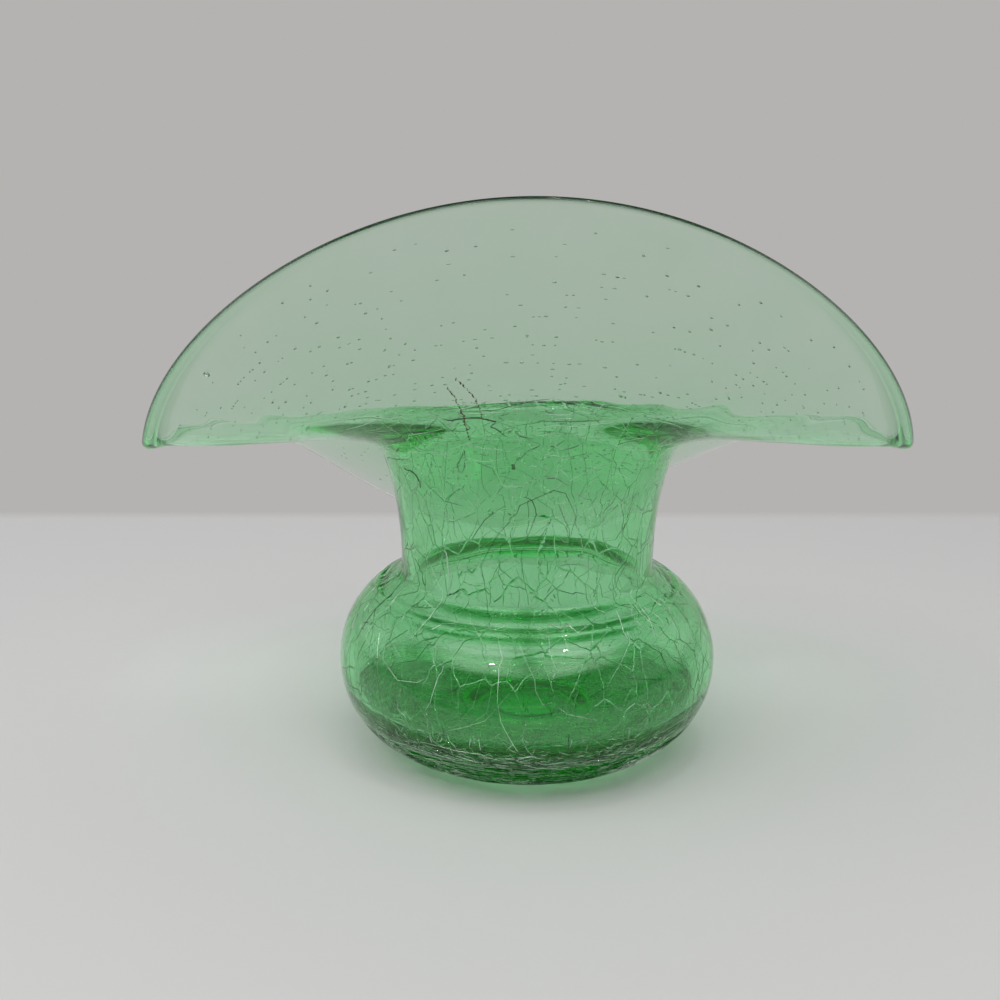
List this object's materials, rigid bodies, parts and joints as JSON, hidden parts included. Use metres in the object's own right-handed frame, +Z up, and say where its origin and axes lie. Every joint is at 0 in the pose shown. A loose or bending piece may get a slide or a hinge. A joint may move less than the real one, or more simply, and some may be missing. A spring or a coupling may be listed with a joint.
{
  "type": "jack-in-the-pulpit vase",
  "caption": "Blown crackle-glass vase with a squat bulb, a short neck and a wide brim folded into a raised hood and a turned-down lip; stands on a flat ring and holds flowers.",
  "frame": {"origin": "on the vase's axis at the standing plane, which is the middle of the footprint", "axes": "+Z up, +X across the two side tips, +Y from the hood towards the lip"},
  "size_m": [0.2148, 0.1549, 0.1611],
  "materials": {
    "pontil_glass": "rough green glass, broken off the rod",
    "base_glass": "thick clear green glass with fine cracks",
    "crackle_glass": "clear green crackle glass, fire-polished",
    "brim_glass": "thin pale green glass with seeds, glossy",
    "edge_glass": "rounded fire-polished edge"
  },
  "bodies": {
    "root": {"pontil_mark": "pontil_glass", "foot": "base_glass", "bulb": "crackle_glass", "shoulder": "crackle_glass", "neck": "crackle_glass", "hood": "brim_glass", "lip": "brim_glass", "rim_bead": "edge_glass"}
  },
  "joints": []
}
